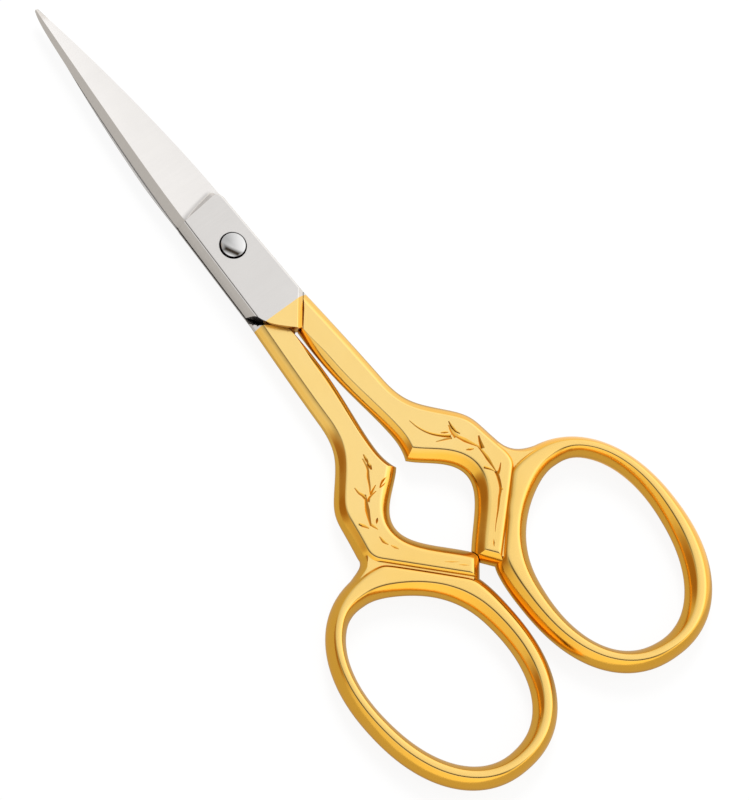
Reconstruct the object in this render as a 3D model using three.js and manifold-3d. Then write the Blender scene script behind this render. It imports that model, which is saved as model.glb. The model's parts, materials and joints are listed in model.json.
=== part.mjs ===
// Embroidery scissors: two alike forged halves, crossed face to face on one pivot screw.
// Millimetres, +Z up. The origin lies on the pivot axis, on the plane of the scissors' backs.
// +X runs from the points to the finger rings, +Y to the side of the front half's handle.

import * as THREE from 'three';
import { mergeVertices } from 'three/addons/utils/BufferGeometryUtils.js';
import Module from 'manifold-3d';

const wasm = await Module();
wasm.setup();

// Blade, from the plunge at the joint to the point
const bladeReach = 30.7; // pivot axis to the point
const bladeHalfWidth = 2.8; // edge, and spine, from the middle line at the root
const bladeSwell = 1.6; // power of the curve that draws the blade in to its point
const bladeRoot = 1.45; // height of the ridge over the inner face at the root
const bladePoint = 0.25; // height of the ridge at the point
const bladeTaper = 2.2; // power of the curve that thins the blade to its point
const pointHalfWidth = 0.12; // the point is blunted to this
const edgeLand = 0.1; // height of the cutting edge's flat
const spineBevel = 0.58; // width of the bevel between ridge and spine at the root
const bevelTaper = 3; // power of the curve that ends that bevel at the point
const bevelNarrowing = 0.3; // power by which it narrows with the blade
const faceHollow = 0.07; // depth of the hollow ground into the broad face
const innerHollow = 0.06; // depth of the hollow ground into the inner face
const bladeInPad = 1; // length of the blade's root inside the pad
const bladeStations = 16;

// Joint pad, the flat boss that the screw goes through
const padHalf = 1.7; // inner face to the top of the pad
const padBack = 5.5; // pivot axis to the plunge, at the pad's foot
const padFront = 10.4; // pivot axis to the pad's blunt front corner
const padHalfWidth = 2.85; // at the plunge
const neckHalfWidth = 3.0; // at the shoulders
const plungeLean = 0.22; // the plunge runs further forward at the edge than at the spine
const padChamfer = 0.55; // the pad's sides draw in by this from foot to top
const padFoot = 0.2; // upright part of the pad's sides, through both halves
const padSteps = 2; // facets of the pad's sides
const slantStart = 7.72; // where the pad starts to slant across to the handle
const slantRun = 3.06; // length along X of that slant down to the middle line
const creviceStart = 6.9; // where the crevice beside the other half's shoulder starts
const creviceEnd = 0.31; // distance of its far end from the middle line
const creviceRound = 1.0; // rounding of the pad's corner there

// Running fits
const runningGap = 0.05; // between the halves' inner faces
const shoulderGap = 0.3; // between a pad and the other half's shoulder
const stopGap = 0.1; // between the stops of the closed handles
const screwClearance = 0.05; // round the screw's shank
const headClearance = 0.12; // round the screw's head

// Handle: a forged bar with round sides, ground flat on both faces
const forgedHalf = 1.85; // half height of the forging's round before it is ground
const forgedBulge = 1.02; // how far the round sides stand out from the forging's top
const forgedLand = 0.04; // upright strip round the middle of the sides
const forgedSteps = 6; // facets from that strip to the face
const curveSteps = 7; // facets along each curve of the outline
const handleHalf = 1.7; // half thickness at the arms and the rings
const shankHalf = 1.25; // half thickness of the shank behind the joint
const shankThin = 13.0; // pivot axis to where the shank starts to thicken
const armFull = 1.0; // the arm has its full thickness this far before the flank's middle
const shankOverlap = 4; // length of the shank's root inside the pad
const shankLength = 19.3; // pivot axis to where the shank's outside starts to turn out
const shankInside = 0.26; // shank's inside to the middle line, at the joint
const shankInset = 0.1; // the shank's outside lies this far inside the pad's foot
const shankOutside = 3.85; // shank's outside to the middle line, at the turn
const flankRun = 5.7; // from the turn to the middle of the flank
const flankRise = 2.6;
const humpRun = 3.65; // from the flank to the hump
const humpRise = 2.44;
const notchRun = 4.2; // from the hump to the notch beside the ring
const notchRise = 0.95;
const notchEase = 0.8; // the notch is rounded off into the valley over this length
const bellyRun = 5.1; // from the turn to the fullest place of the shank's inside
const bellyOut = 1.38;
const cuspRun = 2.55; // from there to the cusp
const cuspOut = 0.7;
const archRun = 4.85; // from the cusp to the crown of the arch
const archRise = 4.38;
const stopRun = 6.7; // from the crown to the stop
const stopWidth = 0.8;
const armEndRun = 1.6; // slant of the arm's end behind the stop
const armEndRise = 1.3;

// Control points of the outline's curves, as shares of each curve's run and rise from where it starts
const shankBend = [[0.4, 0.14], [0.745, 1]];
const cuspBend = [[0.6, 0]];
const archUpBend = [[0.34, 0.39], [0.61, 1]];
const archDownBend = [[0.31, 0], [0.63, 0.61]];
const humpBend = [[0.5, 0.7]];
const flankTopBend = [[0.45, 0.09], [0.59, 0.37]];
const flankFootBend = [[0.32, 0.67], [0.49, 0.93]];

// Finger ring
const ringHalfLength = 11.4; // of the ring's middle line
const ringHalfWidth = 8.45;
const ringSquareness = 2.2; // power of the oval, 2 for an ellipse
const ringTilt = -5.4; // degrees
const ringHalfBand = 1.18; // half width of the band
const ringThickening = 0.2; // added to that on the side of the other ring
const ringBehindNotch = 1.4; // notch to the ring's middle line
const rootFill = 1.0; // the band swells inwards by this beside the arm
const rootTurn = 212; // degrees round the oval to the middle of that swelling
const rootSpread = 58; // degrees to either side of it
const ringNear = 1.98; // middle line of the scissors to that of the ring
const ringStations = 60;
const ringWallSteps = 6; // facets of the ring's sides, from face to face

// Pivot screw, threaded into the rear half
const screwRadius = 0.75;
const headRadius = 1.22;
const headSeat = 0.3; // depth of the head's seat in the pad
const headRim = 0.1; // height of the head's rim over the pad
const domeRise = 0.5; // height of the dome over the rim
const screwSides = 28;
const domeSteps = 6;

// The plating of the handles ends at this distance from the pivot axis
const platingLine = 7.8;

const steel = { color: 0xd9d6d2, metalness: 1, roughness: 0.28 };
const gold = { color: 0xe3ad4a, metalness: 1, roughness: 0.22 };
const screwSteel = { color: 0xc9c9cc, metalness: 1, roughness: 0.12 };

// Cutting blocks reach this far past the part
const past = 4;

function solidOf(geometry) {
  geometry.deleteAttribute('normal');
  geometry.deleteAttribute('uv');
  const merged = mergeVertices(geometry, 1e-5);
  const vertProperties = new Float32Array(merged.attributes.position.array);
  const triVerts = new Uint32Array(merged.index.array);
  return new wasm.Manifold(new wasm.Mesh({ numProp: 3, vertProperties, triVerts }));
}

function geometryOf(solid) {
  const { vertProperties, triVerts } = solid.getMesh();
  const geometry = new THREE.BufferGeometry();
  geometry.setAttribute('position', new THREE.BufferAttribute(vertProperties, 3));
  geometry.setIndex(new THREE.BufferAttribute(triVerts, 1));
  geometry.computeVertexNormals();
  return geometry;
}

function vec(x, y) {
  return new THREE.Vector2(x, y);
}

// Upright prism on a plan outline
function prism(shape, low, high) {
  const options = { depth: high - low, bevelEnabled: false, curveSegments: curveSteps };
  return solidOf(new THREE.ExtrudeGeometry(shape, options).translate(0, 0, low));
}

// Block between two corners
function block(low, high) {
  const size = new THREE.Vector3().subVectors(high, low);
  const centre = new THREE.Vector3().addVectors(low, high).multiplyScalar(0.5);
  return solidOf(new THREE.BoxGeometry(size.x, size.y, size.z).translate(centre.x, centre.y, centre.z));
}

// Bar with sides that swell outwards to the outline at half height
function forging(shape, bulge, halfHeight, land, steps) {
  const geometry = new THREE.ExtrudeGeometry(shape, {
    depth: land,
    bevelEnabled: true,
    bevelThickness: halfHeight - land / 2,
    bevelSize: bulge,
    bevelOffset: -bulge,
    bevelSegments: steps,
    curveSegments: curveSteps,
  });
  return solidOf(geometry.translate(0, 0, -land / 2));
}

// Closed skin over rings of points, either joined end to end or capped with flat faces
function skin(rings, endless) {
  const count = rings[0].length;
  const positions = rings.flat().flatMap((p) => [p.x, p.y, p.z]);
  const faces = [];
  const spans = endless ? rings.length : rings.length - 1;
  for (let r = 0; r < spans; r += 1) {
    const here = r * count;
    const next = ((r + 1) % rings.length) * count;
    for (let k = 0; k < count; k += 1) {
      const j = (k + 1) % count;
      faces.push(here + k, here + j, next + j, here + k, next + j, next + k);
    }
  }
  if (!endless) {
    const flat = (ring) => ring.map((p) => vec(p.y, p.z));
    const last = (rings.length - 1) * count;
    for (const [a, b, c] of THREE.ShapeUtils.triangulateShape(flat(rings[0]), [])) {
      faces.push(a, c, b);
    }
    for (const [a, b, c] of THREE.ShapeUtils.triangulateShape(flat(rings.at(-1)), [])) {
      faces.push(last + a, last + b, last + c);
    }
  }
  const geometry = new THREE.BufferGeometry();
  geometry.setAttribute('position', new THREE.Float32BufferAttribute(positions, 3));
  geometry.setIndex(faces);
  return solidOf(geometry);
}

// One half is made with its inner face towards -Z and the blade's edge at +Y, about the joint's middle plane
const innerFace = runningGap / 2;

function bladeSection(x, s) {
  const halfWidth = pointHalfWidth + (bladeHalfWidth - pointHalfWidth) * (1 - s ** bladeSwell);
  const ridgeHeight = bladePoint + (bladeRoot - bladePoint) * (1 - s ** bladeTaper);
  const bevel = spineBevel * (1 - s ** bevelTaper) * (halfWidth / bladeHalfWidth) ** bevelNarrowing;
  const ridge = -halfWidth + bevel;
  const hollow = Math.sin(Math.PI * s) * (1 - s);
  const land = innerFace + edgeLand;
  const across = (f) => halfWidth + (ridge - halfWidth) * f;
  const face = (f) => land + (ridgeHeight - land) * f - faceHollow * hollow * Math.sin(Math.PI * f);
  const inside = (f) => innerFace + innerHollow * hollow * Math.sin(Math.PI * f);
  return [
    [halfWidth, innerFace],
    [halfWidth, land],
    [across(1 / 3), face(1 / 3)],
    [across(2 / 3), face(2 / 3)],
    [ridge, ridgeHeight],
    [-halfWidth, innerFace],
    [-halfWidth / 3, inside(1 / 3)],
    [halfWidth / 3, inside(2 / 3)],
  ].map(([y, z]) => new THREE.Vector3(x, y, z));
}

function blade() {
  const rootX = -padBack + bladeInPad;
  const sections = [];
  for (let k = 0; k <= bladeStations; k += 1) {
    const s = Math.sin((k / bladeStations) * Math.PI / 2);
    sections.push(bladeSection(rootX + (-bladeReach - rootX) * s, s));
  }
  return skin(sections.reverse(), false);
}

// The crevice's line from the pad's spine corner to its front corner
const creviceRun = vec(padFront - creviceStart, neckHalfWidth - creviceEnd);
const creviceOut = vec(creviceRun.y, creviceRun.x).normalize();

function pad() {
  const outline = new THREE.Shape([
    vec(-padBack + plungeLean, -padHalfWidth),
    vec(slantStart + 2 * slantRun, -neckHalfWidth),
    vec(slantStart, neckHalfWidth),
    vec(-padBack - plungeLean, padHalfWidth),
  ]);
  const boss = forging(outline, padChamfer, padHalf, padFoot, padSteps);
  const corner = creviceStart - creviceRound;
  const onCrevice = creviceRound / creviceRun.length();
  const clearing = new THREE.Shape();
  clearing.moveTo(corner, -neckHalfWidth - past);
  clearing.lineTo(padFront + 4 * past, -neckHalfWidth - past);
  clearing.lineTo(padFront + 4 * past, neckHalfWidth + past);
  clearing.lineTo(padFront, neckHalfWidth + past);
  clearing.lineTo(padFront, -creviceEnd);
  clearing.lineTo(creviceStart + creviceRun.x * onCrevice, -neckHalfWidth + creviceRun.y * onCrevice);
  clearing.quadraticCurveTo(creviceStart, -neckHalfWidth, corner, -neckHalfWidth);
  const under = block(
    new THREE.Vector3(-bladeReach, -neckHalfWidth - past, -padHalf - past),
    new THREE.Vector3(padFront + 4 * past, neckHalfWidth + past, innerFace),
  );
  return boss.subtract(prism(clearing, -padHalf - past, padHalf + past)).subtract(under);
}

// Places along the handle
const bellyX = shankLength + bellyRun;
const cuspX = bellyX + cuspRun;
const archX = cuspX + archRun;
const archOut = cuspOut + archRise;
const stopX = archX + stopRun;
const flankX = shankLength + flankRun;
const flankOut = shankOutside + flankRise;
const humpX = flankX + humpRun;
const humpOut = flankOut + humpRise;
const notchX = humpX + notchRun;
const notchOut = humpOut + notchRise;

// Curve from the outline's last point to the next, quadratic or cubic by its number of control points
function bend(shape, x, y, controls) {
  const { x: fromX, y: fromY } = shape.currentPoint;
  const points = controls.flatMap(([run, rise]) => [fromX + (x - fromX) * run, fromY + (y - fromY) * rise]);
  if (controls.length === 1) {
    shape.quadraticCurveTo(...points, x, y);
  } else {
    shape.bezierCurveTo(...points, x, y);
  }
}

function handleOutline() {
  const startX = padFront - shankOverlap;
  const stopOut = stopGap / 2;
  const endX = stopX + stopWidth + armEndRun;
  const endOut = stopOut + armEndRise;
  const shape = new THREE.Shape();
  shape.moveTo(startX, shankInside);
  shape.lineTo(padFront, shankInside);
  bend(shape, bellyX, bellyOut, shankBend);
  bend(shape, cuspX, cuspOut, cuspBend);
  bend(shape, archX, archOut, archUpBend);
  bend(shape, stopX, stopOut, archDownBend);
  shape.lineTo(stopX + stopWidth, stopOut);
  shape.lineTo(endX, endOut);
  shape.lineTo(notchX + notchEase, notchOut - notchEase / 2);
  shape.lineTo(notchX, notchOut);
  bend(shape, humpX, humpOut, humpBend);
  bend(shape, flankX, flankOut, flankTopBend);
  bend(shape, shankLength, shankOutside, flankFootBend);
  shape.lineTo(startX, neckHalfWidth - shankInset);
  return shape;
}

// Side view of the handle: thin at the shank, thicker at the arm
function thickness() {
  const thickFrom = flankX - armFull;
  const farEnd = stopX + past;
  const middle = (shankThin + thickFrom) / 2;
  const side = new THREE.Shape();
  side.moveTo(0, -shankHalf);
  side.lineTo(shankThin, -shankHalf);
  side.bezierCurveTo(middle, -shankHalf, middle, -handleHalf, thickFrom, -handleHalf);
  side.lineTo(farEnd, -handleHalf);
  side.lineTo(farEnd, handleHalf);
  side.lineTo(thickFrom, handleHalf);
  side.bezierCurveTo(middle, handleHalf, middle, shankHalf, shankThin, shankHalf);
  side.lineTo(0, shankHalf);
  const depth = notchOut + 2 * past;
  const geometry = new THREE.ExtrudeGeometry(side, { depth, bevelEnabled: false, curveSegments: curveSteps });
  return solidOf(geometry.rotateX(Math.PI / 2).translate(0, notchOut + past, 0));
}

// Room under the handle for the other half's pad
function pocket() {
  const front = padFront + shoulderGap;
  const from = vec(creviceStart, neckHalfWidth).addScaledVector(creviceOut, shoulderGap);
  const slope = creviceRun.y / creviceRun.x;
  const at = (x) => vec(x, from.y - slope * (x - from.x));
  const outline = new THREE.Shape([
    vec(-past, -neckHalfWidth - past),
    vec(front, -neckHalfWidth - past),
    at(front),
    at(from.x - past),
    vec(-past, at(from.x - past).y),
  ]);
  return prism(outline, -handleHalf - past, innerFace);
}

function ring() {
  const tilt = THREE.MathUtils.degToRad(ringTilt);
  const centre = vec(notchX + ringBehindNotch + ringHalfLength, ringNear + ringHalfWidth);
  const power = 2 / ringSquareness;
  const onOval = (a) => {
    const c = Math.cos(a);
    const s = Math.sin(a);
    const p = vec(
      ringHalfLength * Math.sign(c) * Math.abs(c) ** power,
      ringHalfWidth * Math.sign(s) * Math.abs(s) ** power,
    );
    return p.rotateAround(vec(0, 0), tilt).add(centre);
  };
  const step = Math.PI / ringStations;
  const steepest = Math.asin(handleHalf / forgedHalf);
  const rings = [];
  for (let k = 0; k < ringStations; k += 1) {
    const a = (k / ringStations) * 2 * Math.PI;
    const here = onOval(a);
    const along = onOval(a + step).sub(onOval(a - step)).normalize();
    const out = vec(along.y, -along.x);
    const half = ringHalfBand + ringThickening * Math.max(0, -Math.sin(a)) ** 2;
    const fromRoot = Math.min(1, Math.abs(THREE.MathUtils.radToDeg(a) - rootTurn) / rootSpread);
    const fill = rootFill * Math.cos(fromRoot * Math.PI / 2) ** 2;
    const section = [];
    for (const side of [1, -1]) {
      for (let w = 0; w <= ringWallSteps; w += 1) {
        const turn = side * steepest * (2 * w / ringWallSteps - 1);
        const share = (Math.cos(turn) - Math.cos(steepest)) / (1 - Math.cos(steepest));
        const swell = side < 0 ? fill * share : 0;
        const p = here.clone().addScaledVector(out, side * (half * Math.cos(turn) + swell));
        section.push(new THREE.Vector3(p.x, p.y, forgedHalf * Math.sin(turn)));
      }
    }
    rings.unshift(section);
  }
  return skin(rings, true);
}

function pin(radius, low, high) {
  const profile = [vec(0, low), vec(radius, low), vec(radius, high), vec(0, high)];
  return solidOf(new THREE.LatheGeometry(profile, screwSides).rotateX(Math.PI / 2));
}

// The part of a half on one side of the plating line
function cutAtPlating(half, side) {
  const far = 4 * bladeReach;
  const low = new THREE.Vector3(side > 0 ? platingLine : -far, -far, -far);
  const high = new THREE.Vector3(side > 0 ? far : platingLine, far, far);
  return geometryOf(half.intersect(block(low, high)));
}

function mesh(name, geometry, look) {
  const piece = new THREE.Mesh(geometry, new THREE.MeshStandardMaterial(look));
  piece.name = name;
  return piece;
}

const bar = forging(handleOutline(), forgedBulge, forgedHalf, forgedLand, forgedSteps).intersect(thickness());
const half = pad().add(blade()).add(bar.subtract(pocket())).add(ring());
const screwHole = pin(screwRadius + screwClearance, -past, padHalf + past);
const headHole = pin(headRadius + headClearance, padHalf - headSeat, padHalf + past);
const frontHalf = half.subtract(screwHole).subtract(headHole);
const rearHalf = half.subtract(screwHole);

const front = new THREE.Group();
front.position.z = padHalf;
front.add(mesh('front_blade', cutAtPlating(frontHalf, -1), steel));
front.add(mesh('front_handle', cutAtPlating(frontHalf, 1), gold));

// The rear half is turned over about the scissors' middle line
const rear = new THREE.Group();
rear.position.z = padHalf;
rear.rotation.x = Math.PI;
rear.add(mesh('rear_blade', cutAtPlating(rearHalf, -1), steel));
rear.add(mesh('rear_handle', cutAtPlating(rearHalf, 1), gold));

function screw() {
  const seat = 2 * padHalf - headSeat;
  const rim = 2 * padHalf + headRim;
  const profile = [
    vec(0, 0),
    vec(screwRadius, 0),
    vec(screwRadius, seat),
    vec(headRadius, seat),
    vec(headRadius, rim),
  ];
  const domeRadius = (headRadius ** 2 + domeRise ** 2) / (2 * domeRise);
  const opening = Math.asin(headRadius / domeRadius);
  for (let k = 1; k <= domeSteps; k += 1) {
    const turn = opening * (1 - k / domeSteps);
    const height = rim + domeRise - domeRadius * (1 - Math.cos(turn));
    profile.push(vec(k === domeSteps ? 0 : domeRadius * Math.sin(turn), height));
  }
  return geometryOf(solidOf(new THREE.LatheGeometry(profile, screwSides).rotateX(Math.PI / 2)));
}

const scissors = new THREE.Group();
scissors.add(front, rear, mesh('pivot_screw', screw(), screwSteel));

export default scissors;
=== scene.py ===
import bpy
import bmesh
import json
import math
import numpy as np
from mathutils import Matrix, Vector


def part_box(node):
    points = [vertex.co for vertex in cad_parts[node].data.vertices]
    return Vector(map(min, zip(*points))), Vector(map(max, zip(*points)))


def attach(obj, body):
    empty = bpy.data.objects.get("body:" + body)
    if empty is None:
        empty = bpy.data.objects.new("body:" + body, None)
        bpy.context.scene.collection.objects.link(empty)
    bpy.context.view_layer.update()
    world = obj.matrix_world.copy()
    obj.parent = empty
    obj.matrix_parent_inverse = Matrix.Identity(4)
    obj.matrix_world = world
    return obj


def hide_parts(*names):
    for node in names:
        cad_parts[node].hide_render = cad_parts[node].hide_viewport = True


# Gilt embroidery scissors, lying closed on a white table. Lengths in the dictionaries are millimetres.
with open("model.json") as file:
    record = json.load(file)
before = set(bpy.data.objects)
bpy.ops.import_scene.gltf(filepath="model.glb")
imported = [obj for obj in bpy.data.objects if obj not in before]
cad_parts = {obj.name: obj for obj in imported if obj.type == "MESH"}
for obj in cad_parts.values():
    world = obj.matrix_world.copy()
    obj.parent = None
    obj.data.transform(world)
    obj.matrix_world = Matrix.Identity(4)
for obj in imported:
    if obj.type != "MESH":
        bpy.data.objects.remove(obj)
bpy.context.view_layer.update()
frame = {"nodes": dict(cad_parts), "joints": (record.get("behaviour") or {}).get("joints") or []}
mm = 0.001
midPlane = frame["joints"][0]["pos_m"][2] / mm  # height of the face between the two halves
topFace = 2 * midPlane
bladeReach = -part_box("front_blade")[0].x / mm
print("frame loaded:", sorted(frame["nodes"]))


# Curves and meshes

def curve(start, *spans, step=0.3):
    points = [np.array(start, float)]
    for span in spans:  # one point is a line, two a quadratic, three a cubic
        control = [points[-1]] + [np.array(p, float) for p in span]
        length = sum(np.linalg.norm(b - a) for a, b in zip(control, control[1:]))
        for t in np.linspace(0, 1, max(2, math.ceil(length / step)) + 1)[1:]:
            level = control
            while len(level) > 1:
                level = [a + (b - a) * t for a, b in zip(level, level[1:])]
            points.append(level[0])
    return np.array(points)


def normals(points):
    along = np.gradient(points, axis=0)
    along /= np.linalg.norm(along, axis=1)[:, None]
    return np.stack([-along[:, 1], along[:, 0]], axis=1)  # to the left, which is inwards


def crossing(a, b, c, d):
    r, s, w = b - a, d - c, c - a
    area = r[0] * s[1] - r[1] * s[0]
    if abs(area) < 1e-12:
        return None
    return (w[0] * s[1] - w[1] * s[0]) / area, (w[0] * r[1] - w[1] * r[0]) / area


def meet(before, after, look=40):  # trims two offset sides where they cross, or runs them on to a point
    for i in range(len(before) - 2, -1, -1):
        for j in range(min(len(after) - 1, look)):
            hit = crossing(before[i], before[i + 1], after[j], after[j + 1])
            if hit and 0 <= hit[0] <= 1 and 0 <= hit[1] <= 1:
                p = before[i] + (before[i + 1] - before[i]) * hit[0]
                return np.vstack([before[:i + 1], p]), np.vstack([p, after[j + 1:]])
        if len(before) - i > look:
            break
    hit = crossing(before[-2], before[-1], after[0], after[1])
    p = before[-2] + (before[-1] - before[-2]) * hit[0]
    return np.vstack([before[:-1], p]), np.vstack([p, after[1:]])


def resample(points, shares):
    steps = np.linalg.norm(np.diff(points, axis=0), axis=1)
    run = np.concatenate([[0], np.cumsum(steps)])
    return np.stack([np.interp(shares * run[-1], run, points[:, k]) for k in (0, 1)], axis=1)


def shares(points):
    run = np.concatenate([[0], np.cumsum(np.linalg.norm(np.diff(points, axis=0), axis=1))])
    return run / run[-1]


def smoothPath(points, steps=6):
    p = np.array(points, float)
    ends = np.vstack([2 * p[0] - p[1], p, 2 * p[-1] - p[-2]])
    path = []
    for a, b, c, d in zip(ends, ends[1:], ends[2:], ends[3:]):
        for t in np.arange(steps) / steps:
            path.append(0.5 * (2 * b + (c - a) * t + (2 * a - 5 * b + 4 * c - d) * t ** 2
                               + (3 * b - a - 3 * c + d) * t ** 3))
    return np.array(path + [p[-1]])


def smoothstep(low, high, x):
    t = np.clip((x - low) / (high - low), 0, 1)
    return t * t * (3 - 2 * t)


def cornerLine(route, count=30):
    return resample(smoothPath(route), np.linspace(0, 1, count))


def meshObject(name, verts, faces):
    mesh = bpy.data.meshes.new(name)
    mesh.from_pydata([tuple(map(float, v)) for v in verts], [], faces)
    bm = bmesh.new()
    bm.from_mesh(mesh)
    bmesh.ops.recalc_face_normals(bm, faces=bm.faces)
    bm.to_mesh(mesh)
    bm.free()
    obj = bpy.data.objects.new(name, mesh)
    bpy.context.scene.collection.objects.link(obj)
    return obj


def rowsObject(name, rows, endless=False):  # rows of points joined by quads
    count = len(rows[0])
    verts = np.vstack(rows)
    faces = []
    for r in range(len(rows) if endless else len(rows) - 1):
        here, there = r * count, ((r + 1) % len(rows)) * count
        for k in range(count):
            j = (k + 1) % count
            faces.append((here + k, here + j, there + j, there + k))
    if not endless:
        faces.append(tuple(reversed(range(count))))
        faces.append(tuple(range(len(verts) - count, len(verts))))
    return meshObject(name, verts, faces)


def prism(name, outline, low, high):
    rows = [np.column_stack([outline, np.full(len(outline), z)]) for z in (low, high)]
    return rowsObject(name, rows)


def lathe(name, profile, sides):  # profile of radius and height, from the axis back to the axis
    turns = np.arange(sides) * 2 * math.pi / sides
    rows = []
    for radius, height in profile[1:-1]:
        around = [radius * np.cos(turns), radius * np.sin(turns)]
        rows.append(np.column_stack([*around, np.full(sides, height)]))
    return rowsObject(name, rows)


def remove(*objs):
    for o in objs:
        bpy.data.objects.remove(o)


cutter = {
    "tall": 6,  # how far the cutting shapes reach past what they cut
    "wide": 9,
    "whole": (90, 40, 20),  # reach along X, Y and Z that takes in a whole half
}


def boolean(target, operation, *tools):
    group = bpy.data.collections.new("tools")
    for o in tools:
        group.objects.link(o)
    mod = target.modifiers.new("cut", "BOOLEAN")
    mod.operation = operation
    mod.operand_type = "COLLECTION"
    mod.collection = group
    mod.solver = "EXACT"
    applyModifiers(target)
    remove(*tools)
    bpy.data.collections.remove(group)


def applyModifiers(obj):
    graph = bpy.context.evaluated_depsgraph_get()
    mesh = bpy.data.meshes.new_from_object(obj.evaluated_get(graph))
    obj.modifiers.clear()
    obj.data = mesh


# Side of a forged bar: it falls in from its widest place, then has a small round onto the flat

forged = {
    "power": 1.7,  # of the side's curve
    "edge": 0.13,  # height and run of the round onto the flat
    "roundRun": 0.26,
    "thinning": 3,  # power by which the thin shanks have sharper edges
    "wallRows": 10,
    "roundRows": 5,
}


def wall(mid, top, height):
    f = forged
    soft = (height / bar["armHalf"]) ** f["thinning"]
    rows = []
    for t in np.linspace(0, 1, f["wallRows"] + 1):
        z = (height - f["edge"] * soft) * t
        rows.append((top + (mid - top) * (1 - (z / height) ** f["power"]), z))
    foot = rows[-1]
    inner = top - f["roundRun"] * soft
    for t in np.linspace(0, 1, f["roundRows"] + 1)[1:]:
        out = foot[0] * (1 - t) ** 2 + top * 2 * t * (1 - t) + inner * t * t
        rows.append((out, foot[1] * (1 - t) ** 2 + height * (1 - (1 - t) ** 2)))
    return rows


# Handle bar: shank, arm with its cusp and arch, and the stop

bar = {
    "shankHalf": 0.97,
    "armHalf": 1.55,
    "thickens": (17.0, 36.0),  # along X
    "neckFall": 0.3,  # the inside wall is steeper beside the joint
    "neckRun": (9.8, 14.5),
    "falls": {"inside": 0.78, "arch": 1.15, "end": 0.95, "outside": 0.92, "root": 0.3},
    "inside": ((6.4, 0.26), [(10.4, 0.22)], [(16.5, -0.25), (20.5, 0.95), (24.2, 1.1)],
               [(25.8, 1.16), (26.95, 0.6)]),
    "arch": ((26.95, 0.6), [(28.45, 1.95), (29.6, 4.62), (31.75, 4.62)],
             [(33.95, 4.62), (35.9, 1.65), (38.2, -0.2)], [(38.6, -0.513)]),
    "end": ((38.6, -0.513), [(41.2, 1.6)]),
    "stopFace": 0.05,  # Y of the flat where the two arms touch
    "stopCut": ((30, 50), -4),  # along X, and down to this Y, what is cut off past that flat
    "valley": {
        "front": ((41.2, 1.6), [(34.39, 8.86)], [(33.44, 9.88), (31.6, 9.5)]),
        "rear": ((41.2, 1.6), [(33.97, 8.82)], [(32.99, 9.79), (31.6, 9.5)]),
    },
    "outside": ([(30.4, 9.25), (28.65, 8.98)], [(26.9, 8.72), (26.3, 8.15), (24.75, 6.72)],
                [(22.95, 5.06), (22.0, 4.25), (19.3, 4.06)], [(13.5, 3.78), (6.4, 3.2)]),
    "root": ((6.4, 3.2), [(6.4, 0.26)]),
}


def barHalf(x):
    return bar["shankHalf"] + (bar["armHalf"] - bar["shankHalf"]) * smoothstep(*bar["thickens"], x)


def makeBar(which):
    names = ("inside", "arch", "end", "outside", "root")
    routes = [bar["valley"][which] + bar[k] if k == "outside" else bar[k] for k in names]
    sides = [curve(r[0], *r[1:]) for r in routes]
    marks = [shares(s) for s in sides]
    lefts = [normals(s) for s in sides]
    falls = [np.full(len(s), bar["falls"][k]) for k, s in zip(names, sides)]
    falls[0] = bar["neckFall"] + (falls[0] - bar["neckFall"]) * smoothstep(*bar["neckRun"], sides[0][:, 0])
    walls = [wall(0, -fall, barHalf(s[:, 0])) for fall, s in zip(falls, sides)]
    rows = []
    for k in range(len(walls[0])):
        moved = [s - n * w[k][0][:, None] for s, n, w in zip(sides, lefts, walls)]
        for i in range(len(moved)):
            j = (i + 1) % len(moved)
            moved[i], moved[j] = meet(moved[i], moved[j])
        line = np.vstack([resample(m, u)[:-1] for m, u in zip(moved, marks)])
        rise = np.concatenate([w[k][1][:-1] for w in walls])
        rows.append(np.column_stack([line, rise]))
    under = [r * (1, 1, -1) for r in rows[:0:-1]]
    forging = rowsObject("bar", under + rows)
    (start, stop), low = bar["stopCut"]
    beyond = np.array([(start, low), (stop, low), (stop, bar["stopFace"]), (start, bar["stopFace"])])
    boolean(forging, "DIFFERENCE", prism("beyond", beyond, -cutter["tall"], cutter["tall"]))
    return forging


# Web: a low saddle that fills the notch between the arm and the ring

web = {
    "drop": 0.35,  # its top lies this far below the faces
    "fall": 0.6,
    "front": ((33.4, 12.6), [(33.0, 11.0), (32.5, 9.75), (30.9, 9.36)]),
    "rear": ((33.3, 11.9), [(32.75, 10.2), (32.8, 9.6), (31.6, 9.4)]),
    "buried": ((31.4, 7.8), (34.0, 8.2), (34.4, 11.4)),
}


def makeWeb(which):
    edge = curve(*web[which], step=0.15)
    left = normals(edge)
    rows = []
    for out, z in wall(0, -web["fall"], bar["armHalf"] - web["drop"]):
        line = np.vstack([edge - left * out, web["buried"]])
        rows.append(np.column_stack([line, np.full(len(line), z)]))
    under = [r * (1, 1, -1) for r in rows[:0:-1]]
    return rowsObject("web", under + rows)


# Gutter: the shallow bottom of the valley between the arm and the ring

gutter = {
    "drop": 0.35,  # as the web's
    "reach": (-0.9, 0.3),  # across the valley
    "ends": (1.2, 0.85),  # it starts under the web and stops short of the arm's end
}


def makeGutter(which):
    stop, start = (np.array(p) for p in (bar["valley"][which][0], bar["valley"][which][1][0]))
    along = (stop - start) / np.linalg.norm(stop - start)
    toRing = np.array([-along[1], along[0]])
    start, stop = start - along * gutter["ends"][0], stop - along * gutter["ends"][1]
    low, high = gutter["reach"]
    corners = [start + toRing * low, stop + toRing * low, stop + toRing * high, start + toRing * high]
    top = bar["armHalf"] - gutter["drop"]
    return prism("gutter", np.array(corners), -top, top)


# Finger ring: a band between two ovals, cut straight beside the arm and fuller inside where the arm runs in

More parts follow.
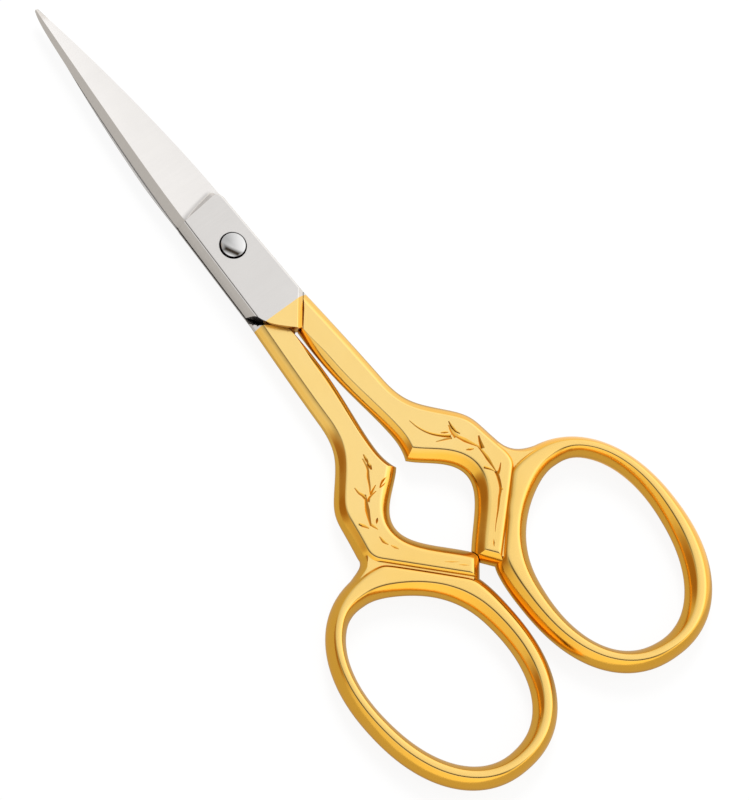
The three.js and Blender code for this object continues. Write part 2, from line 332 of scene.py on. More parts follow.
ring = {
    "squareness": 2.2,
    "flat": 0.26,  # half width of the ground face, as a share of half the band
    "rootFill": 1.3,
    "rootTurn": 212,
    "rootSpread": 58,
    "rootLine": ((34.3, 8.35), (40.6, 2.05)),  # edge of the ring's face beside the arm
    "blend": 0.12,
    "facing": 0.3,  # stations that face the arm more than this are cut by that line
    "cutRange": (-1, 2),
    "heel": (0.25, 250, 18),  # bulge past the arm's end, its place and spread in degrees
    "stations": 240,
    "front": {  # centre, half length, half width, tilt
        "outer": (45.65, 10.25, 12.53, 9.8, -1.5),
        "inner": (45.72, 10.46, 10.28, 7.09, -9.0),
    },
    "rear": {
        "outer": (45.65, 10.15, 12.53, 9.64, -4.5),
        "inner": (45.65, 10.44, 10.3, 7.13, -7.5),
    },
}


def ovalPoint(oval, a):
    x, y, halfLength, halfWidth, tilt = oval
    c, s, power = math.cos(a), math.sin(a), 2 / ring["squareness"]
    u = halfLength * math.copysign(abs(c) ** power, c)
    v = halfWidth * math.copysign(abs(s) ** power, s)
    t = math.radians(tilt)
    return np.array([x + u * math.cos(t) - v * math.sin(t), y + u * math.sin(t) + v * math.cos(t)])


def makeRing(which):
    start, stop = (np.array(p) for p in ring["rootLine"])
    along = (stop - start) / np.linalg.norm(stop - start)
    toArm = np.array([along[1], -along[0]])
    bulge, place, spread = ring["heel"]
    rows = []
    for a in np.arange(ring["stations"]) * 2 * math.pi / ring["stations"]:
        rim, hole = ovalPoint(ring[which]["outer"], a), ovalPoint(ring[which]["inner"], a)
        half = np.linalg.norm(rim - hole) / 2
        out = (rim - hole) / (2 * half)
        here = (rim + hole) / 2
        flat = ring["flat"] * half
        turn = math.degrees(a)
        near = min(1, abs(turn - ring["rootTurn"]) / ring["rootSpread"])
        fill = ring["rootFill"] * math.cos(near * math.pi / 2) ** 2
        reach = bulge * math.exp(-((turn - place) / spread) ** 2)
        if out @ toArm > ring["facing"]:
            toLine = np.clip((start - here) @ toArm / (out @ toArm) - flat, *ring["cutRange"])
            reach = -ring["blend"] * np.logaddexp(-reach / ring["blend"], -toLine / ring["blend"])
        outer = wall(half + reach, flat + reach, bar["armHalf"])
        inner = wall(half + fill, flat + fill, bar["armHalf"])
        loop = [(o, z) for o, z in outer] + [(-o, z) for o, z in reversed(inner)]
        loop += [(-o, -z) for o, z in inner[1:]] + [(o, -z) for o, z in reversed(outer[1:])]
        rows.append(np.array([(*(here + out * o), z) for o, z in loop]))
    return rowsObject("ring", rows, endless=True)


# Joint pad: a flat boss with bevelled sides, upright where it meets the blade's plunge

pad = {
    "top": 1.7,
    "gap": 0.025,  # half of the running gap between the halves
    "plunge": (-4.97, -0.1),  # X of the plunge on the middle line, and its lean per mm of Y
    "corner": 0.7,  # radius where the plunge turns into the edge side
    "cornerSteps": 9,
    "edgeTop": 2.3,  # top of the bevels, at the plunge and at the neck
    "neckTop": 2.62,
    "bevel": (  # spread of the near side, of the far side and of the slant, and height
        (0.51, 0.6, 0.66, 0.0), (0.5, 0.59, 0.66, 0.1), (0.45, 0.5, 0.66, 0.5), (0.38, 0.34, 0.66, 0.9),
        (0.36, 0.3, 0.6, 0.97), (0.22, 0.17, 0.27, 1.4), (0.11, 0.08, 0.09, 1.59), (0.06, 0.03, 0.04, 1.64),
        (0.0, -0.02, 0.01, 1.67), (-0.06, -0.07, -0.03, 1.69), (-0.14, -0.13, -0.08, 1.7)),
    "slant": (7.12, 10.22),  # X where the slant to the handle starts, and where it meets the middle line
    "front": 10.4,
    # end of the boss beside the other half's shank, at its foot and at its top
    "creviceLow": ((10.4, 0.06), (9.3, -0.92), (8.2, -1.84), (7.42, -2.4), (6.75, -2.8), (6.05, -3.3)),
    "creviceTop": ((10.4, 0.06), (9.45, -0.96), (8.55, -1.83), (7.7, -2.39), (7.0, -2.7), (6.3, -3.3)),
    "creviceClears": 30,  # X that the cut for it reaches
    "undercut": (1.25, 0.75),  # height, and share of the way from the foot to the top there
}


def plungeX(y):
    x = pad["plunge"][0] + pad["plunge"][1] * y
    into = np.clip(y - pad["edgeTop"] + pad["corner"], 0, pad["corner"])
    return x + pad["corner"] - math.sqrt(pad["corner"] ** 2 - into ** 2)


def padOutline(near, far, slantGrow):
    slope = pad["neckTop"] / (pad["slant"][1] - pad["slant"][0])
    shift = slantGrow * math.hypot(1, slope) / slope - far / slope  # the slant moves out square to itself
    start, neck = pad["slant"][0] + shift, pad["neckTop"] + near
    edge = pad["edgeTop"] + near
    stop = start + (2 * pad["neckTop"] + near + far) / slope
    turn = np.linspace(pad["edgeTop"], pad["edgeTop"] - pad["corner"], pad["cornerSteps"])
    corner = [(plungeX(y), y + far) for y in turn]
    return np.array([(plungeX(-edge), -edge), (pad["slant"][0], -neck), (stop, -neck),
                     (start, pad["neckTop"] + far), *corner])


def makePad():
    rows = []
    for near, far, slantGrow, z in pad["bevel"]:
        outline = padOutline(near, far, slantGrow)
        rows.append(np.column_stack([outline, np.full(len(outline), max(z, pad["gap"]))]))
    boss = rowsObject("pad", rows)
    low, top = cornerLine(pad["creviceLow"]), cornerLine(pad["creviceTop"])
    levels = []
    tall, wide, end = cutter["tall"], cutter["wide"], pad["creviceClears"]
    for z, share in ((-tall, 0), (0, 0), pad["undercut"], (pad["top"], 1), (tall, 1)):
        line = low + (top - low) * share
        clear = np.vstack([line, [(line[-1][0], -wide), (end, -wide), (end, wide), (pad["front"], wide)]])
        levels.append(np.column_stack([clear, np.full(len(clear), z)]))
    boolean(boss, "DIFFERENCE", rowsObject("crevice", levels))
    return boss


# Blade: hollow broad face, slanted spine, hollow inner face, drawn in to the point

blade = {
    "start": -4.5,  # X where it starts to draw in
    "halfWidth": 2.8,
    "swell": 1.6,
    "root": 1.45,
    "point": 0.5,
    "taper": 2.2,
    "pointHalf": 0.15,
    "edgeOut": {"front": 0.0, "rear": 0.27},  # the rear edge shows past the front blade's spine
    "edgeGrows": (0.35, 3),  # share of that at the root, and its growth along the blade
    "lean": {"front": 0.42, "rear": 0.0},  # the front point is ground a little to the near side
    "leanRuns": {"spine": (1, 3), "tip": (0.75, 24), "ridge": (0.24, 4), "edge": (0.2, 6)},  # share and power
    "land": 0.1,
    "spineBevel": 0.58,
    "bevelRuns": (3, 0.3),  # powers by which that ends at the point and narrows with the blade
    "spineRows": (0.04, 0.35, 0.7, 1),
    "faceHollow": 0.07,
    "innerHollow": 0.06,
    "rootX": -4.0,
    "rampRun": (0.65, 1.15),  # length of the plunge at the spine and at the edge
    "rampPower": 2.5,
    "rampSink": 0.03,  # it ends this far under the pad's faces
    "rampFrom": (-6.4, -6.35),  # X of the last station of the blade and the first of the plunge
    "stations": 130,
    "rampStations": 60,
    "across": 26,
    "innerRows": 9,
}


def padRoof(y):  # height of the pad's section at this distance from the middle line
    widths = [pad["edgeTop"] + row[0] for row in pad["bevel"]]
    return float(np.interp(-abs(y), [-w for w in widths], [row[3] for row in pad["bevel"]]))


def bladeSection(x, edgeOut, lean):
    b = blade
    s = np.clip((x - b["start"]) / (-b["start"] - bladeReach), 0, 1)  # 0 at the root, 1 at the point
    half = b["pointHalf"] + (b["halfWidth"] - b["pointHalf"]) * (1 - s ** b["swell"])
    height = b["point"] + (b["root"] - b["point"]) * (1 - s ** b["taper"])
    ends, narrows = b["bevelRuns"]
    bevel = b["spineBevel"] * (1 - s ** ends) * (half / b["halfWidth"]) ** narrows
    leans = {k: lean * share * s ** power for k, (share, power) in b["leanRuns"].items()}
    ridge = -half + bevel - leans["ridge"]
    hollow = math.sin(math.pi * s) * (1 - s)
    land = pad["gap"] + b["land"]
    first, growth = b["edgeGrows"]
    edge = half + edgeOut * math.sqrt(1 - s) * min(1, first + growth * s) - leans["edge"]
    spine = -half - leans["spine"] + leans["tip"]
    points = [(edge, pad["gap"]), (edge, land)]
    for f in np.linspace(0, 1, b["across"])[1:]:
        sink = b["faceHollow"] * hollow * math.sin(math.pi * f)
        points.append((edge + (ridge - edge) * f, land + (height - land) * f - sink))
    for f in b["spineRows"]:
        points.append((ridge + (spine - ridge) * f, height + (pad["gap"] - height) * f))
    for f in np.linspace(0, 1, b["innerRows"])[1:-1]:
        sink = b["innerHollow"] * hollow * math.sin(math.pi * f)
        points.append((spine + (edge - spine) * f, pad["gap"] + sink))
    ramped = []
    for y, z in points:
        across = np.clip(y / b["halfWidth"] / 2 + 0.5, 0, 1)
        run = b["rampRun"][0] + (b["rampRun"][1] - b["rampRun"][0]) * across
        u = np.clip((x - plungeX(y) + run) / run, 0, 1)
        rise = max(0, padRoof(y) - b["rampSink"] - z) * u ** b["rampPower"]
        ramped.append((x, y, z + rise if z > land - 1e-6 else z))  # the inner face stays flat
    return np.array(ramped)


def makeBlade(which):
    last, first = blade["rampFrom"]
    spread = np.sin(np.linspace(0, math.pi / 2, blade["stations"]))[::-1]  # closer towards the point
    plunge = np.linspace(first, blade["rootX"], blade["rampStations"])
    stations = np.concatenate([last - (last + bladeReach) * spread, plunge])
    edgeOut, lean = blade["edgeOut"][which], blade["lean"][which]
    return rowsObject("blade", [bladeSection(x, edgeOut, lean) for x in stations])


# One half, with its inner face down, then a front and a rear copy

joint = {
    # where the shank ends beside the other half's boss, at its foot and at its face
    "shoulderLow": ((11.0, -0.3), (10.35, 0.36), (9.8, 0.52), (9.3, 0.8),
                    (8.5, 1.8), (7.85, 2.6), (7.15, 3.05), (6.5, 3.6)),
    "shoulderTop": ((11.2, -0.3), (10.4, 0.46), (9.85, 0.6), (9.3, 0.83),
                    (8.45, 1.83), (7.83, 2.7), (7.3, 3.25), (6.8, 4.0)),
    "pocketFrom": -2,  # X
    "slantFoot": ((7.3, 3.26), (10.72, 0.44)),
    "slantGroove": (0.22, 0.2),  # width and depth
    "holeRadius": 0.8,
    "holeSides": 64,
    "seatRadius": 1.34,
    "seatDepth": 0.7,
    "seatChamfer": 0.05,
    "plating": 7.95,  # X where the gold starts
}


def makePocket():
    low, top = (cornerLine(joint[k]) for k in ("shoulderLow", "shoulderTop"))
    levels = []
    start, wide = joint["pocketFrom"], cutter["wide"]
    for z, line in ((-cutter["tall"], top), (-bar["shankHalf"], top), (pad["gap"], low)):
        far = [(line[-1][0], wide), (start, wide)]
        outline = np.vstack([[(start, -wide), (line[0][0], -wide)], line, far])
        levels.append(np.column_stack([outline, np.full(len(outline), z)]))
    return rowsObject("pocket", levels)


def makeSlantGroove():  # the file's mark at the foot of the slant
    path = resample(np.array(joint["slantFoot"]), np.array([0, 0.5, 1]))
    return graver("slant groove", path, *joint["slantGroove"], "even", 0)


def makeHalf(which):
    half = makeBar(which)
    boolean(half, "DIFFERENCE", makePocket())
    boolean(half, "UNION", makeRing(which))
    boolean(half, "UNION", makeWeb(which))
    boolean(half, "UNION", makeGutter(which))
    boolean(half, "UNION", makePad())
    boolean(half, "UNION", makeBlade(which))
    radius, tall = joint["holeRadius"], cutter["tall"]
    hole = lathe("hole", [(0, -tall), (radius, -tall), (radius, tall), (0, tall)], joint["holeSides"])
    boolean(half, "DIFFERENCE", hole, makeSlantGroove())
    return half


# Engraving: each cut is a path, its width and depth, and how it swells along its length

cuts = {
    "front_handle": [
        ([(24.1, 3.1), (25.2, 3.35), (26.3, 3.9), (27.2, 4.7), (27.75, 5.4)], 0.2, 0.07, "grow"),
        ([(27.6, 5.6), (28.4, 6.0), (29.3, 6.45), (30.15, 6.9)], 0.28, 0.09, "even"),
        ([(30.1, 6.9), (31.2, 6.9), (32.3, 6.8), (33.2, 6.7)], 0.24, 0.08, "even"),
        ([(26.45, 6.2), (27.0, 6.1), (27.6, 6.1), (28.1, 6.3)], 0.16, 0.06, "even"),
        ([(26.75, 5.95), (27.4, 5.8), (28.15, 5.8)], 0.34, 0.1, "grow"),
        ([(26.9, 4.8), (27.3, 5.45)], 0.12, 0.04, "even"),
        ([(27.35, 3.85), (27.7, 4.75), (27.95, 5.35)], 0.14, 0.04, "grow"),
        ([(29.35, 7.65), (29.85, 7.4), (30.6, 7.1)], 0.3, 0.1, "grow"),
        ([(29.75, 5.7), (30.1, 6.4)], 0.16, 0.05, "even"),
        ([(33.2, 6.7), (33.9, 6.45), (34.8, 5.95), (35.5, 5.2), (36.35, 4.35), (37.3, 3.3), (37.9, 2.7)],
         0.24, 0.08, "fade"),
        ([(32.8, 7.65), (33.3, 7.05), (33.5, 6.7)], 0.2, 0.07, "grow"),
        ([(32.15, 6.0), (32.7, 6.4), (33.15, 6.6)], 0.2, 0.07, "fade"),
        ([(35.05, 6.1), (34.75, 5.95)], 0.16, 0.05, "even"),
        ([(38.4, 2.1), (39.0, 1.65)], 0.14, 0.04, "even"),
    ],
    "rear_handle": [
        ([(24.1, -2.8), (25.25, -3.05)], 0.18, 0.06, "even"),
        ([(24.95, -3.0), (25.8, -3.15)], 0.26, 0.09, "even"),
        ([(24.4, -3.15), (25.45, -3.4), (26.15, -3.9), (27.0, -4.4), (27.6, -4.85)], 0.17, 0.05, "even"),
        ([(26.25, -5.7), (26.85, -5.7), (27.3, -5.55), (27.7, -5.5)], 0.24, 0.08, "grow"),
        ([(27.4, -5.3), (28.25, -5.85), (29.2, -6.4), (30.2, -6.9)], 0.3, 0.09, "even"),
        ([(27.25, -3.85), (27.35, -4.1), (27.7, -4.9)], 0.18, 0.06, "grow"),
        ([(27.75, -4.2), (27.85, -5.1), (28.15, -5.55)], 0.18, 0.06, "grow"),
        ([(27.7, -3.7), (27.35, -3.05), (27.2, -2.15)], 0.15, 0.06, "even"),
        ([(27.7, -3.7), (27.65, -2.95), (27.2, -2.15)], 0.15, 0.06, "even"),
        ([(29.4, -7.8), (29.8, -7.45), (30.3, -7.2)], 0.22, 0.07, "fade"),
        ([(30.1, -6.8), (30.9, -6.55)], 0.16, 0.05, "fade"),
        ([(29.95, -5.85), (30.35, -6.3)], 0.16, 0.06, "even"),
        ([(31.55, -6.9), (32.2, -6.9), (32.7, -6.7)], 0.18, 0.06, "even"),
        ([(32.9, -6.55), (33.65, -6.15)], 0.16, 0.05, "even"),
        ([(37.3, -3.3), (38.15, -2.15)], 0.1, 0.03, "even"),
        ([(38.35, -2.35), (39.0, -1.55)], 0.1, 0.03, "even"),
    ],
}
strokes = {
    "width": 1.4,  # times the cuts' own widths and depths
    "depth": 1.8,
    "clear": 0.05,  # the graver's rise over the face
}
swells = {"even": (0.25, 1.0, 0.25), "grow": (0.12, 0.6, 1.0), "fade": (1.0, 0.7, 0.12)}


def graver(name, points, width, depth, swell, middle=midPlane):
    path = smoothPath(points)
    side = normals(path)
    scale = np.interp(shares(path), (0, 0.5, 1), swells[swell])
    clear = strokes["clear"]
    rows = []
    for p, n, s in zip(path, side, scale):
        face = middle + barHalf(p[0])
        reach = n * (width / 2 * s) * (1 + clear / (depth * s))
        left, right = p - reach, p + reach
        rows.append(np.array([(*left, face + clear), (*p, face - depth * s), (*right, face + clear)]))
    return rowsObject(name, rows)


# Pivot screw: a polished dome on a short rim, with its tail flush at the back

screw = {
    "radius": 0.75,
    "head": 1.22,
    "seat": 0.66,
    "rim": 0.21,
    "dome": 0.38,
    "chamfer": 0.12,
    "seatGap": 0.02,
    "rimEdge": 0.05,
    "axis": 0.001,  # radius of the small flats that close it on the axis
    "domeRows": 24,
    "sides": 72,
}


def makeScrew():
    s = screw
    seat, rim = topFace - s["seat"] + s["seatGap"], topFace + s["rim"]
    profile = [(0, 0), (s["axis"], 0), (s["radius"] - s["chamfer"], 0), (s["radius"], s["chamfer"]),
               (s["radius"], seat), (s["head"], seat), (s["head"], rim - s["rimEdge"])]
    radius = (s["head"] ** 2 + s["dome"] ** 2) / (2 * s["dome"])
    opening = math.asin(s["head"] / radius)
    for turn in np.linspace(opening, 0, s["domeRows"]):
        drop = radius * (1 - math.cos(turn))
        profile.append((max(radius * math.sin(turn), s["axis"]), rim + s["dome"] - drop))
    return lathe("pivot_screw_polished", profile + [(0, rim + s["dome"])], s["sides"])


# Materials

def newMaterial(name):
    mat = bpy.data.materials.new(name)
    mat.use_nodes = True
    tree = mat.node_tree
    return mat, tree.nodes, tree.links, tree.nodes["Principled BSDF"]


def grain(nodes, links, scale, noiseScale=1.0, detail=3.0, rough=0.5):
    coords = nodes.new("ShaderNodeTexCoord")
    mapping = nodes.new("ShaderNodeMapping")
    mapping.inputs["Scale"].default_value = scale
    noise = nodes.new("ShaderNodeTexNoise")
    noise.inputs["Scale"].default_value = noiseScale
    noise.inputs["Detail"].default_value = detail
    noise.inputs["Roughness"].default_value = rough
    links.new(coords.outputs["Object"], mapping.inputs["Vector"])
    links.new(mapping.outputs["Vector"], noise.inputs["Vector"])
    return noise.outputs["Fac"]


def remap(nodes, links, source, low, high, fromLow=0.3, fromHigh=0.7):
    node = nodes.new("ShaderNodeMapRange")
    node.inputs["From Min"].default_value = fromLow
    node.inputs["From Max"].default_value = fromHigh
    node.inputs["To Min"].default_value = low
    node.inputs["To Max"].default_value = high
    links.new(source, node.inputs["Value"])
    return node.outputs["Result"]


def flatness(nodes, links, low, high):  # 1 on the ground faces, 0 on the round walls
    geometry = nodes.new("ShaderNodeNewGeometry")
    parts = nodes.new("ShaderNodeSeparateXYZ")
    size = nodes.new("ShaderNodeMath")
    size.operation = "ABSOLUTE"
    links.new(geometry.outputs["Normal"], parts.inputs["Vector"])
    links.new(parts.outputs["Z"], size.inputs[0])
    return remap(nodes, links, size.outputs[0], 0.0, 1.0, low, high)


def mixColour(nodes, links, factor, a, b):
    node = nodes.new("ShaderNodeMix")
    node.data_type = "RGBA"
    links.new(factor, node.inputs["Factor"])
    for socket, value in ((6, a), (7, b)):
        if isinstance(value, tuple):
            node.inputs[socket].default_value = (*value, 1)
        else:
            links.new(value, node.inputs[socket])
    return node.outputs[2]


def addMath(nodes, links, a, b, operation="ADD"):
    node = nodes.new("ShaderNodeMath")
    node.operation = operation
    for socket, value in ((0, a), (1, b)):
        if isinstance(value, (int, float)):
            node.inputs[socket].default_value = value
        else:
            links.new(value, node.inputs[socket])
    return node.outputs[0]


def bump(nodes, links, height, distance, strength=1.0):
    node = nodes.new("ShaderNodeBump")
    node.inputs["Strength"].default_value = strength
    node.inputs["Distance"].default_value = distance
    links.new(height, node.inputs["Height"])
    return node.outputs["Normal"]


gilt = {
    "shankFace": (0.985, 0.705, 0.26),  # painted light and shade: the flat faces get a paler gold and the round walls a darker, deeper gold, by which way they face
    "ringFace": (0.98, 0.655, 0.195),
    "shankWall": (0.92, 0.565, 0.13),
    "ringWall": (0.92, 0.49, 0.06),
    "faceDeepens": (0.028, 0.036),  # along X, in metres
    "wallDeepens": (0.018, 0.027),
    "paleFrom": (0.75, 0.96),  # how far a face looks up or down before it gets the paler, painted-light colour
    "groundFrom": (0.95, 0.99),  # and before it is as rough as the ground faces
    # painted shade: the dark brown that corners, cuts and the valley get, where shade falls
    "paintedShade": (0.3, 0.11, 0.012),
    "paintedShadeReach": (0.0004, 0.2, 0.8),
    "faceRough": 0.24,
    "wallRough": 0.14,
    "roughSpread": 0.02,
    "cloudSpread": 0.2,
    "cloudScale": (200, 200, 200),
    "roughScale": (500, 500, 500),
    "waveScale": (700, 700, 700),  # the walls are polished by hand, a little uneven
    "waveHeight": 0.000012,
}


def paintedShade(nodes, links, reach, low, high):  # painted shade mask from ambient occlusion: 0 deep in corners and cuts, where shade falls, 1 on open faces
    node = nodes.new("ShaderNodeAmbientOcclusion")
    node.samples = 8
    node.inputs["Distance"].default_value = reach
    return remap(nodes, links, node.outputs["AO"], 0, 1, low, high)


def giltMaterial():
    mat, nodes, links, shader = newMaterial("gilt plating")
    parts = nodes.new("ShaderNodeSeparateXYZ")
    links.new(nodes.new("ShaderNodeTexCoord").outputs["Object"], parts.inputs["Vector"])
    cloudy = gilt["cloudSpread"]
    cloud = remap(nodes, links, grain(nodes, links, gilt["cloudScale"], detail=3), -cloudy, cloudy)
    layers = []
    for layer in ("face", "wall"):
        along = remap(nodes, links, parts.outputs["X"], 0, 1, *gilt[layer + "Deepens"])
        colours = [gilt[place + layer.capitalize()] for place in ("shank", "ring")]
        layers.append(mixColour(nodes, links, addMath(nodes, links, along, cloud), *colours))
    # painted light and shade: the paler gold on faces that look up or down, the darker gold on the walls
    unshaded = mixColour(nodes, links, flatness(nodes, links, *gilt["paleFrom"]), layers[1], layers[0])
    # painted shade: ambient occlusion darkens the gold towards brown in corners, cuts and the valley
    giltShade = paintedShade(nodes, links, *gilt["paintedShadeReach"])
    links.new(mixColour(nodes, links, giltShade, gilt["paintedShade"], unshaded), shader.inputs["Base Color"])
    ground = flatness(nodes, links, *gilt["groundFrom"])
    even = remap(nodes, links, ground, gilt["wallRough"], gilt["faceRough"], 0, 1)
    uneven = gilt["roughSpread"]
    spread = remap(nodes, links, grain(nodes, links, gilt["roughScale"]), -uneven, uneven)
    links.new(addMath(nodes, links, even, spread), shader.inputs["Roughness"])
    waves = grain(nodes, links, gilt["waveScale"], detail=1)
    links.new(bump(nodes, links, waves, gilt["waveHeight"]), shader.inputs["Normal"])
    shader.inputs["Metallic"].default_value = 1.0
    return mat


steel = {
    "light": (0.745, 0.722, 0.702),
    "dark": (0.71, 0.688, 0.668),
    "paintedShade": (0.012, 0.01, 0.009),  # near-black painted shade for the crevice, the gap round the screw and the gap between the blades
    "paintedShadeReach": (0.0006, 0.57, 0.85),
    "rough": 0.17,
    "roughSpread": 0.02,
    "lineScale": (7000, 200, 200),  # grinding lines across the blade
    "lineHeight": 0.0000002,
    "cloudScale": (300, 300, 300),
}


def steelMaterial():
    mat, nodes, links, shader = newMaterial("ground steel")
    lines = grain(nodes, links, steel["lineScale"], detail=2)
    cloud = grain(nodes, links, steel["cloudScale"], detail=4)
    tone = addMath(nodes, links, remap(nodes, links, lines, 0, 0.5), remap(nodes, links, cloud, 0, 0.5))
    unshaded = mixColour(nodes, links, tone, steel["dark"], steel["light"])
    # painted shade: ambient occlusion darkens the steel to near black in crevices and gaps
    steelShade = paintedShade(nodes, links, *steel["paintedShadeReach"])
    links.new(mixColour(nodes, links, steelShade, steel["paintedShade"], unshaded), shader.inputs["Base Color"])
    rough, spread = steel["rough"], steel["roughSpread"]
    links.new(remap(nodes, links, lines, rough - spread, rough + spread), shader.inputs["Roughness"])
    links.new(bump(nodes, links, lines, steel["lineHeight"]), shader.inputs["Normal"])
    shader.inputs["Metallic"].default_value = 1.0
    return mat


polish = {
    "light": (0.66, 0.655, 0.65),
    "dark": (0.6, 0.595, 0.59),
    "paintedShadeReach": (0.0005, 0.45, 0.75),
    "rough": 0.09,
    "roughSpread": 0.02,
    "cloudScale": (900, 900, 900),
}


def polishMaterial():
    mat, nodes, links, shader = newMaterial("polished screw steel")
    cloud = grain(nodes, links, polish["cloudScale"], detail=4)
    unshaded = mixColour(nodes, links, remap(nodes, links, cloud, 0, 1), polish["dark"], polish["light"])
    # painted shade: ambient occlusion darkens the screw to near black at its gap in the seat
    steelShade = paintedShade(nodes, links, *polish["paintedShadeReach"])
    links.new(mixColour(nodes, links, steelShade, steel["paintedShade"], unshaded), shader.inputs["Base Color"])
    rough, spread = polish["rough"], polish["roughSpread"]
    links.new(remap(nodes, links, cloud, rough - spread, rough + spread), shader.inputs["Roughness"])
    shader.inputs["Metallic"].default_value = 1.0
    return mat


# Putting the pieces together

sharpAngle = 28  # degrees between two faces, past which their edge stays hard


def cutAt(obj, name, side):  # the part of a half on one side of the plating line
    piece = bpy.data.objects.new(name, obj.data.copy())
    bpy.context.scene.collection.objects.link(piece)
    x = joint["plating"]
    long, wide, tall = cutter["whole"]
    start, stop = (x, long) if side > 0 else (-long, x)
    box = np.array([(start, -wide), (stop, -wide), (stop, wide), (start, wide)])
    boolean(piece, "INTERSECT", prism("side", box, -tall, tall))
    return piece


def dress(piece, body, node, material):
    piece.data.transform(Matrix.Scale(mm, 4))
    piece.data.shade_smooth()
    piece.data.set_sharp_from_angle(angle=math.radians(sharpAngle))
    weigh = piece.modifiers.new("weigh", "WEIGHTED_NORMAL")
    weigh.mode = "FACE_AREA"
    weigh.keep_sharp = True
    applyModifiers(piece)
    piece.data.materials.clear()
    piece.data.materials.append(material)
    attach(piece, body)
    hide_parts(node)
    print("made", piece.name, len(piece.data.polygons), "faces")


gold, groundSteel, polishedSteel = giltMaterial(), steelMaterial(), polishMaterial()
front, rear = makeHalf("front"), makeHalf("rear")
print("halves forged:", len(front.data.polygons), "and", len(rear.data.polygons), "faces")
seatFoot, lip = pad["top"] - joint["seatDepth"], joint["seatChamfer"]
seatRadius, tall = joint["seatRadius"], cutter["tall"]
seatProfile = [(0, seatFoot), (seatRadius, seatFoot), (seatRadius, pad["top"] - lip),
               (seatRadius + 2 * lip, pad["top"] + lip), (seatRadius + 2 * lip, tall), (0, tall)]
boolean(front, "DIFFERENCE", lathe("seat", seatProfile, screw["sides"]))
front.data.transform(Matrix.Translation((0, 0, midPlane)))
rear.data.transform(Matrix.Translation((0, 0, midPlane)) @ Matrix.Rotation(math.pi, 4, "X"))

for half, body, name in ((front, "front_half", "front"), (rear, "rear_half", "rear")):
    node = name + "_handle"
    handle = cutAt(half, node + "_gilt", 1)
    gravers = []
    for path, width, depth, swell in cuts[node]:
        gravers.append(graver("graver", path, width * strokes["width"], depth * strokes["depth"], swell))
    boolean(handle, "DIFFERENCE", *gravers)
    dress(handle, body, node, gold)
    dress(cutAt(half, name + "_blade_ground", -1), body, name + "_blade", groundSteel)
remove(front, rear)
dress(makeScrew(), "rear_half", "pivot_screw", polishedSteel)


# Table, light and camera

table = {
    "size": 3.0,  # metres
    "drop": 0.00003,
    "white": (0.97, 0.97, 0.97),  # the table's own white, and the dimmer one that the metal mirrors
    "mirrored": (0.56, 0.54, 0.51),
    "farGlow": (1.25, 1.22, 1.18),  # brighter beyond the front half
    "farSlope": 0.36,  # of the line along the handle where that starts
    "farSide": (0.0005, 0.0035),  # metres past the line
    "glow": 0.9,  # share of plain white that the camera sees over the lit surface
    "mirroredGlow": 0.6,
    "rough": 0.9,
}


def makeTable():
    half, low = table["size"] / 2, -table["drop"]
    corners = [(-half, -half, low), (half, -half, low), (half, half, low), (-half, half, low)]
    floor = meshObject("table", corners, [(0, 1, 2, 3)])
    mat, nodes, links, shader = newMaterial("white table")
    path = nodes.new("ShaderNodeLightPath")
    straight, through = path.outputs["Is Camera Ray"], path.outputs["Is Transmission Ray"]
    seen = addMath(nodes, links, straight, through, "MAXIMUM")
    parts = nodes.new("ShaderNodeSeparateXYZ")
    links.new(nodes.new("ShaderNodeTexCoord").outputs["Object"], parts.inputs["Vector"])
    alongHandle = addMath(nodes, links, parts.outputs["X"], 0.0, "MAXIMUM")
    line = addMath(nodes, links, alongHandle, table["farSlope"], "MULTIPLY")
    past = addMath(nodes, links, parts.outputs["Y"], line, "SUBTRACT")
    far = remap(nodes, links, past, 0, 1, *table["farSide"])
    mirrored = mixColour(nodes, links, far, table["mirrored"], table["farGlow"])
    links.new(mixColour(nodes, links, seen, table["mirrored"], table["white"]), shader.inputs["Base Color"])
    shader.inputs["Roughness"].default_value = table["rough"]
    shader.inputs["Specular IOR Level"].default_value = 0.0
    glow = nodes.new("ShaderNodeEmission")
    links.new(mixColour(nodes, links, seen, mirrored, (1.0, 1.0, 1.0)), glow.inputs["Color"])
    mix = nodes.new("ShaderNodeMixShader")
    links.new(remap(nodes, links, seen, table["mirroredGlow"], table["glow"], 0, 1), mix.inputs[0])
    links.new(shader.outputs[0], mix.inputs[1])
    links.new(glow.outputs[0], mix.inputs[2])
    links.new(mix.outputs[0], nodes["Material Output"].inputs["Surface"])
    floor.data.materials.append(mat)


sky = {
    "middle": 0.955,
    "far": 0.42,  # added low on the far side
    "farFrom": 0.2,
    "right": 0.3,  # added towards the handles, taken off towards the points
    "along": (0.89, 0.45, 0.05),  # a dark strip overhead, where the camera stands
    "across": (0.44, -0.82, -0.36),
    "halfStrip": (0.08, 0.36),
    "stripEnds": (-0.8, -0.4, 0.75, 1.0),
    "dark": (0.06, 0.046, 0.032),
    "corner": (-0.71, -0.68, 0.2),  # a darker corner of the room
    "cornerSpread": (0.86, 0.98),
    "cornerShade": (0.5, 0.3, 0.14),
}


def dot(nodes, links, source, towards):
    node = nodes.new("ShaderNodeVectorMath")
    node.operation = "DOT_PRODUCT"
    links.new(source, node.inputs[0])
    node.inputs[1].default_value = towards
    return node.outputs["Value"]


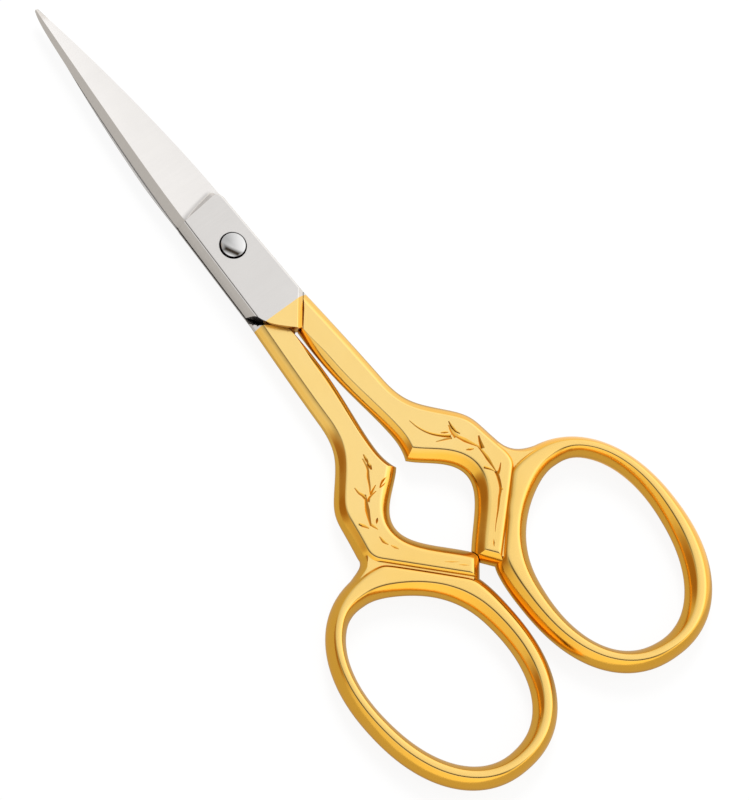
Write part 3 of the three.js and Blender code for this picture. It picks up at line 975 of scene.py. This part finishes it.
def makeSky():
    world = bpy.data.worlds.new("studio")
    bpy.context.scene.world = world
    world.use_nodes = True
    nodes, links = world.node_tree.nodes, world.node_tree.links
    way = nodes.new("ShaderNodeTexCoord").outputs["Generated"]
    far = remap(nodes, links, dot(nodes, links, way, (0, 1, 0)), 0, sky["far"], sky["farFrom"], 1)
    right = remap(nodes, links, dot(nodes, links, way, (1, 0, 0)), -sky["right"], sky["right"], -1, 1)
    bright = addMath(nodes, links, addMath(nodes, links, far, right), sky["middle"])
    aside = addMath(nodes, links, dot(nodes, links, way, sky["across"]), 0.0, "ABSOLUTE")
    run, ends = dot(nodes, links, way, sky["along"]), sky["stripEnds"]
    clear = remap(nodes, links, aside, 0, 1, *sky["halfStrip"])
    clear = addMath(nodes, links, clear, remap(nodes, links, run, 1, 0, ends[0], ends[1]), "MAXIMUM")
    clear = addMath(nodes, links, clear, remap(nodes, links, run, 0, 1, ends[2], ends[3]), "MAXIMUM")
    corner = remap(nodes, links, dot(nodes, links, way, sky["corner"]), 0, 1, *sky["cornerSpread"])
    room = mixColour(nodes, links, corner, (1.0, 1.0, 1.0), sky["cornerShade"])
    links.new(mixColour(nodes, links, clear, sky["dark"], room), nodes["Background"].inputs["Color"])
    links.new(bright, nodes["Background"].inputs["Strength"])


lamps = {
    "softbox": {"at": (-0.5, 0.36, 0.66), "aim": (0.02, 0, 0), "size": 0.4, "power": 6.0},  # metres, watts
}


def makeLamps():
    for name, lamp in lamps.items():
        light = bpy.data.lights.new(name, "AREA")
        light.shape = "DISK"
        light.size = lamp["size"]
        light.energy = lamp["power"]
        obj = bpy.data.objects.new(name, light)
        bpy.context.scene.collection.objects.link(obj)
        obj.location = lamp["at"]
        obj.rotation_euler = (Vector(lamp["aim"]) - obj.location).to_track_quat("-Z", "Y").to_euler()
        obj.visible_glossy = False  # the metal mirrors the room, the lamp only casts the shadow


camera = {
    "aim": (20.3, 2.04, 1.7),
    "distance": 732.4,
    "tilt": 21.06,  # degrees off the vertical
    "azimuth": -70.5,
    "roll": 33.0,
    "lens": 337.5,
    "sensor": 36,
    "clip": 0.01,  # metres
}


def makeCamera():
    c = camera
    tilt, turn, roll = (math.radians(c[k]) for k in ("tilt", "azimuth", "roll"))
    back = Vector((math.sin(tilt) * math.cos(turn), math.sin(tilt) * math.sin(turn), math.cos(tilt)))
    level = Vector((-math.sin(turn), math.cos(turn), 0))
    right = level * math.cos(roll) + back.cross(level) * math.sin(roll)
    up = back.cross(right)
    data = bpy.data.cameras.new("camera")
    data.lens = c["lens"]
    data.sensor_width = c["sensor"]
    data.clip_start = c["clip"]
    obj = bpy.data.objects.new("camera", data)
    bpy.context.scene.collection.objects.link(obj)
    place = Matrix((right, up, back)).transposed().to_4x4()
    place.translation = (Vector(c["aim"]) + back * c["distance"]) * mm
    obj.matrix_world = place
    bpy.context.scene.camera = obj


makeTable()
makeSky()
makeLamps()
makeCamera()
bpy.context.scene.view_settings.view_transform = "Standard"
print("table, lamps and camera set")
